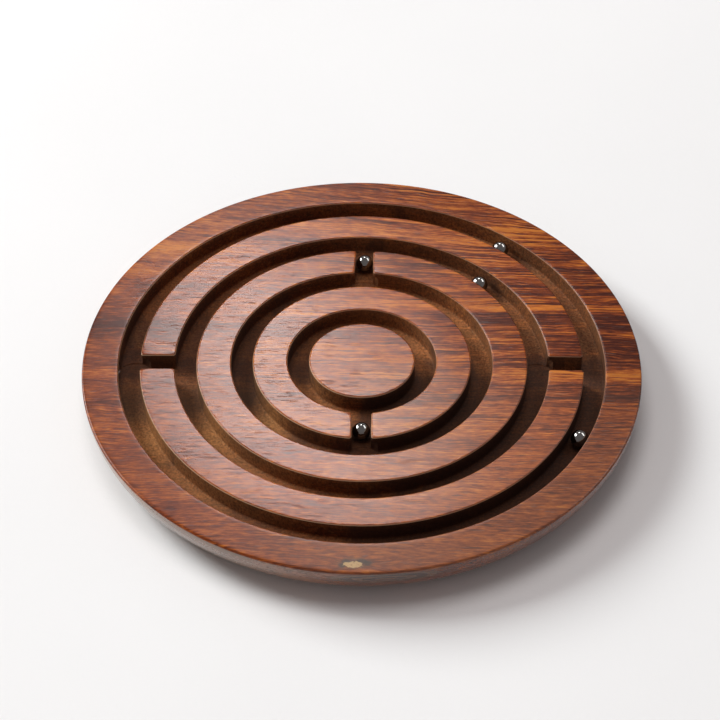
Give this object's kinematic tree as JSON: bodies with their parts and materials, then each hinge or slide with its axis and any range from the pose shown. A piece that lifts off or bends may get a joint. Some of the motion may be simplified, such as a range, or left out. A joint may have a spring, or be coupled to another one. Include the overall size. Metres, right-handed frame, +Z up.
{
  "type": "round tilt maze game",
  "caption": "Hand-held round wooden tilt maze with ring grooves joined by narrow gates and loose steel balls that roll in to the centre.",
  "frame": {"origin": "centre of the board's flat foot", "axes": "+Z up through the centre of the rings, +X to the right-hand gate, +Y to the gate that points to the back"},
  "size_m": [0.15, 0.15, 0.0127],
  "materials": {
    "rosewood": "satin",
    "rosewood_groove": "matte",
    "polished_steel": "polished"
  },
  "bodies": {
    "board": {"board_base": "rosewood_groove", "board_rim": "rosewood", "outer_wall_back": "rosewood", "outer_wall_front": "rosewood", "middle_wall": "rosewood", "inner_wall": "rosewood", "centre_island": "rosewood"},
    "ball_ring_1_back": {"ball_ring_1_back": "polished_steel"},
    "ball_ring_1_front": {"ball_ring_1_front": "polished_steel"},
    "ball_ring_2": {"ball_ring_2": "polished_steel"},
    "ball_back_gate": {"ball_back_gate": "polished_steel"},
    "ball_front_gate": {"ball_front_gate": "polished_steel"}
  },
  "joints": [
    {"name": "roll_ring_1_back", "type": "hinge", "parent": "board", "child": "ball_ring_1_back", "pos_m": [0, 0, 0.00968], "axis": [0, 0, 1], "range_deg": [-33.7, 141.3]},
    {"name": "roll_ring_1_front", "type": "hinge", "parent": "board", "child": "ball_ring_1_front", "pos_m": [0, 0, 0.00968], "axis": [0, 0, 1], "range_deg": [-138, 37]},
    {"name": "roll_ring_2", "type": "hinge", "parent": "board", "child": "ball_ring_2", "pos_m": [0, 0, 0.00968], "axis": [0, 0, 1], "range_deg": [-310.4, 37]},
    {"name": "roll_back_gate", "type": "slide", "parent": "board", "child": "ball_back_gate", "axis": [0.014, 0.9999, 0], "range_m": [-0.0101, 0.005]},
    {"name": "roll_front_gate", "type": "slide", "parent": "board", "child": "ball_front_gate", "axis": [0, -1, 0], "range_m": [-0.0067, 0.0084]}
  ]
}
